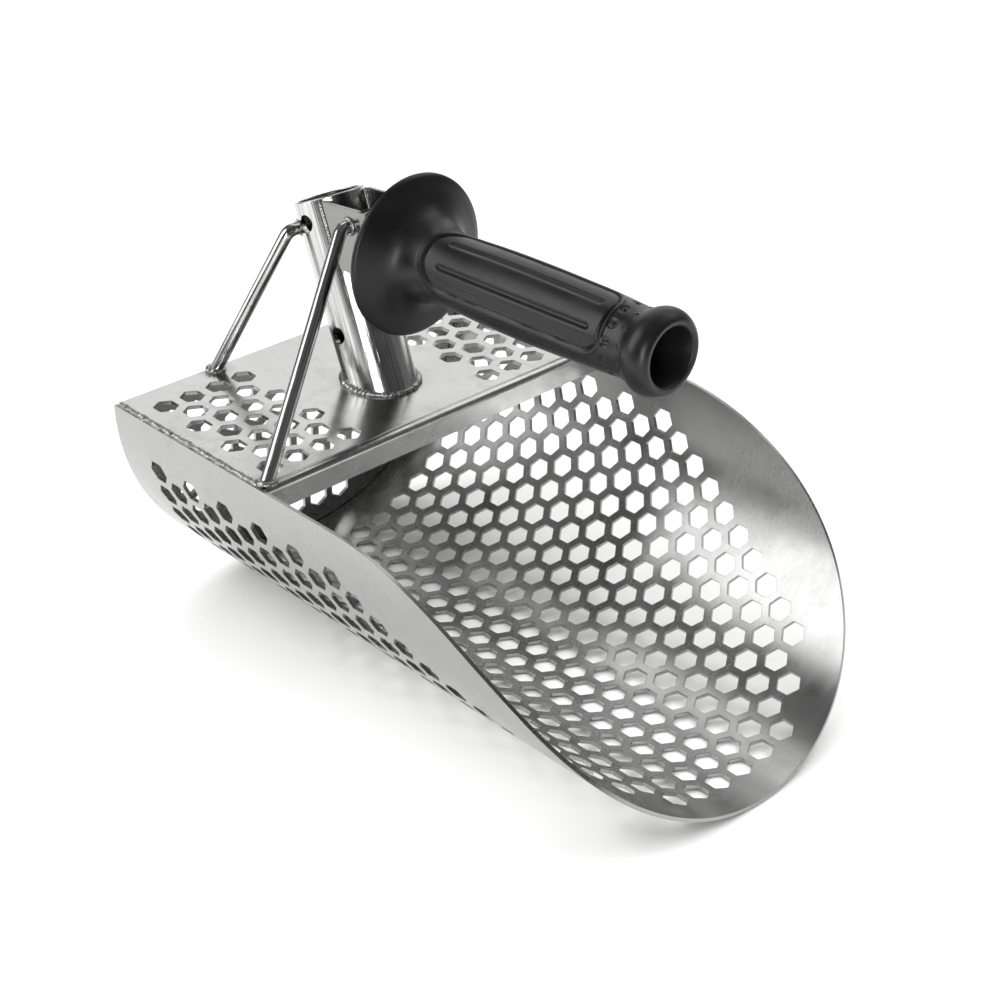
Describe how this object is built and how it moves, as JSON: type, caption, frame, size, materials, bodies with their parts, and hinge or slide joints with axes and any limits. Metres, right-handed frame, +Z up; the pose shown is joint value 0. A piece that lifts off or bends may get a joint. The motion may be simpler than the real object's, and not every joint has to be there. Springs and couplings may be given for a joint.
{
  "type": "metal detecting sand scoop",
  "caption": "Handheld stainless steel sand scoop for metal detecting, half-round sieve trough with hexagonal holes, leaning shaft socket, brace rods and a rubber grip.",
  "frame": {"origin": "under the middle of the scoop's box, at the level of the trough's lowest point", "axes": "+Z up away from the trough's belly, -Y from the shaft socket towards the lip and the grip's end, X across"},
  "size_m": [0.1648, 0.2397, 0.1675],
  "materials": {
    "satin_steel": "brushed stainless sheet, satin, with faint smudges",
    "polished_steel": "polished stainless tube, bar and channel",
    "weld_bead": "rippled weld bead with a dull heat tint",
    "grip_rubber": "black moulded rubber, satin"
  },
  "bodies": {
    "root": {"deck_plate": "satin_steel", "front_left_brace": "polished_steel", "front_left_brace_foot_weld": "weld_bead", "front_left_brace_top_weld": "weld_bead", "front_right_brace": "polished_steel", "front_right_brace_foot_weld": "weld_bead", "front_right_brace_top_weld": "weld_bead", "handle_bracket": "polished_steel", "handle_core": "satin_steel", "handle_core_weld": "weld_bead", "left_bracket_weld": "weld_bead", "left_seam_weld": "weld_bead", "rear_arc_weld": "weld_bead", "rear_left_brace": "polished_steel", "rear_left_brace_foot_weld": "weld_bead", "rear_left_brace_top_weld": "weld_bead", "rear_plate": "satin_steel", "rear_right_brace": "polished_steel", "rear_right_brace_foot_weld": "weld_bead", "rear_right_brace_top_weld": "weld_bead", "rear_top_weld": "weld_bead", "right_bracket_weld": "weld_bead", "right_seam_weld": "weld_bead", "rubber_grip": "grip_rubber", "shaft_socket": "polished_steel", "socket_base_weld": "weld_bead", "trough_sheet": "satin_steel"}
  },
  "joints": []
}
